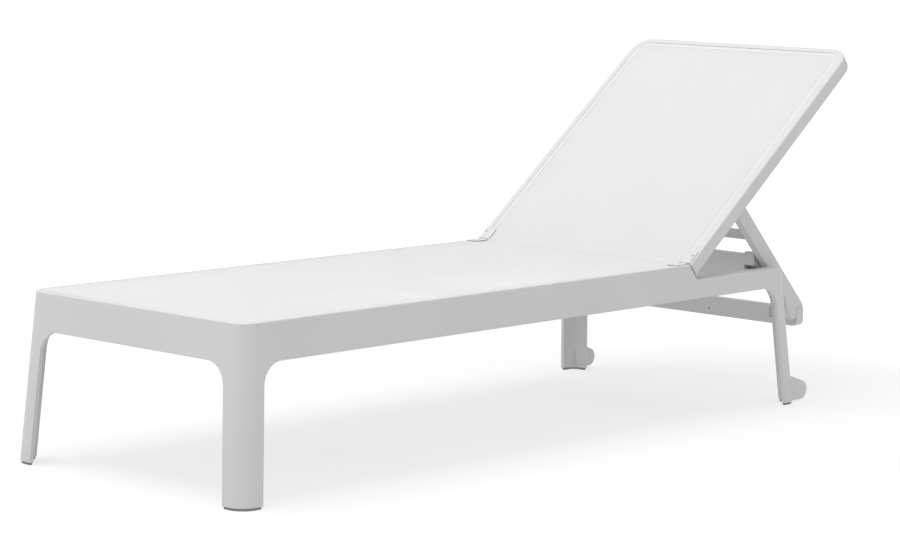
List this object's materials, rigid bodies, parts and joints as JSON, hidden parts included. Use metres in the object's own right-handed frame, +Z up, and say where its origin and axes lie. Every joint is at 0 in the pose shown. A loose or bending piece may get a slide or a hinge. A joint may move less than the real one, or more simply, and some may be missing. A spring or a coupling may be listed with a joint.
{
  "type": "reclining sun lounger",
  "caption": "Low sun lounger with a moulded white frame on splayed legs, a stretched mesh seat and a hinged mesh back held up by a folding prop.",
  "frame": {"origin": "on the floor under the middle of the whole lounger, with the back raised as at rest", "axes": "+X towards the head end, +Y towards the left side of a person lying on it, +Z up"},
  "size_m": [1.9425, 0.6658, 0.795],
  "materials": {
    "white_resin": "fine matt moulded texture",
    "sling_mesh": "coated mesh weave",
    "foot_rubber": "matt",
    "steel": "brushed",
    "nylon": "smooth matt",
    "edge_rod": "smooth",
    "brace_aluminium": "powder coated white"
  },
  "bodies": {
    "seat": {"brace_screws": "steel", "foot_front_left": "foot_rubber", "foot_front_right": "foot_rubber", "foot_rear_left": "foot_rubber", "foot_rear_right": "foot_rubber", "hinge_cover_left": "white_resin", "hinge_cover_right": "white_resin", "hinge_pin_left": "steel", "hinge_pin_right": "steel", "hinge_washer_left": "nylon", "hinge_washer_right": "nylon", "seat_brace_1": "brace_aluminium", "seat_brace_2": "brace_aluminium", "seat_frame": "white_resin", "seat_rod_foot": "edge_rod", "seat_rod_head": "edge_rod", "seat_rod_left": "edge_rod", "seat_rod_right": "edge_rod", "seat_sling": "sling_mesh"},
    "back": {"back_frame": "white_resin", "back_rod_bottom": "edge_rod", "back_rod_left": "edge_rod", "back_rod_right": "edge_rod", "back_rod_top": "edge_rod", "back_sling": "sling_mesh", "hinge_bush_left": "nylon", "hinge_bush_right": "nylon", "hinge_cap_left": "white_resin", "hinge_cap_right": "white_resin", "hinge_cap_screws": "steel", "prop_pin_left": "steel", "prop_pin_right": "steel", "prop_spacer_left": "nylon", "prop_spacer_right": "nylon"},
    "prop": {"prop_frame": "white_resin"}
  },
  "joints": [
    {"name": "back_hinge", "type": "hinge", "parent": "seat", "child": "back", "pos_m": [0.38537, 0, 0.3135], "axis": [0, -1, 0], "range_deg": [-38, 0]},
    {"name": "prop_pivot", "type": "hinge", "parent": "back", "child": "prop", "pos_m": [0.57532, 0, 0.47269], "axis": [0, -1, 0], "range_deg": [0, 80]}
  ],
  "couplings": [
    {"joint": "prop_pivot", "follows": "back_hinge", "ratio": -2.1053}
  ]
}
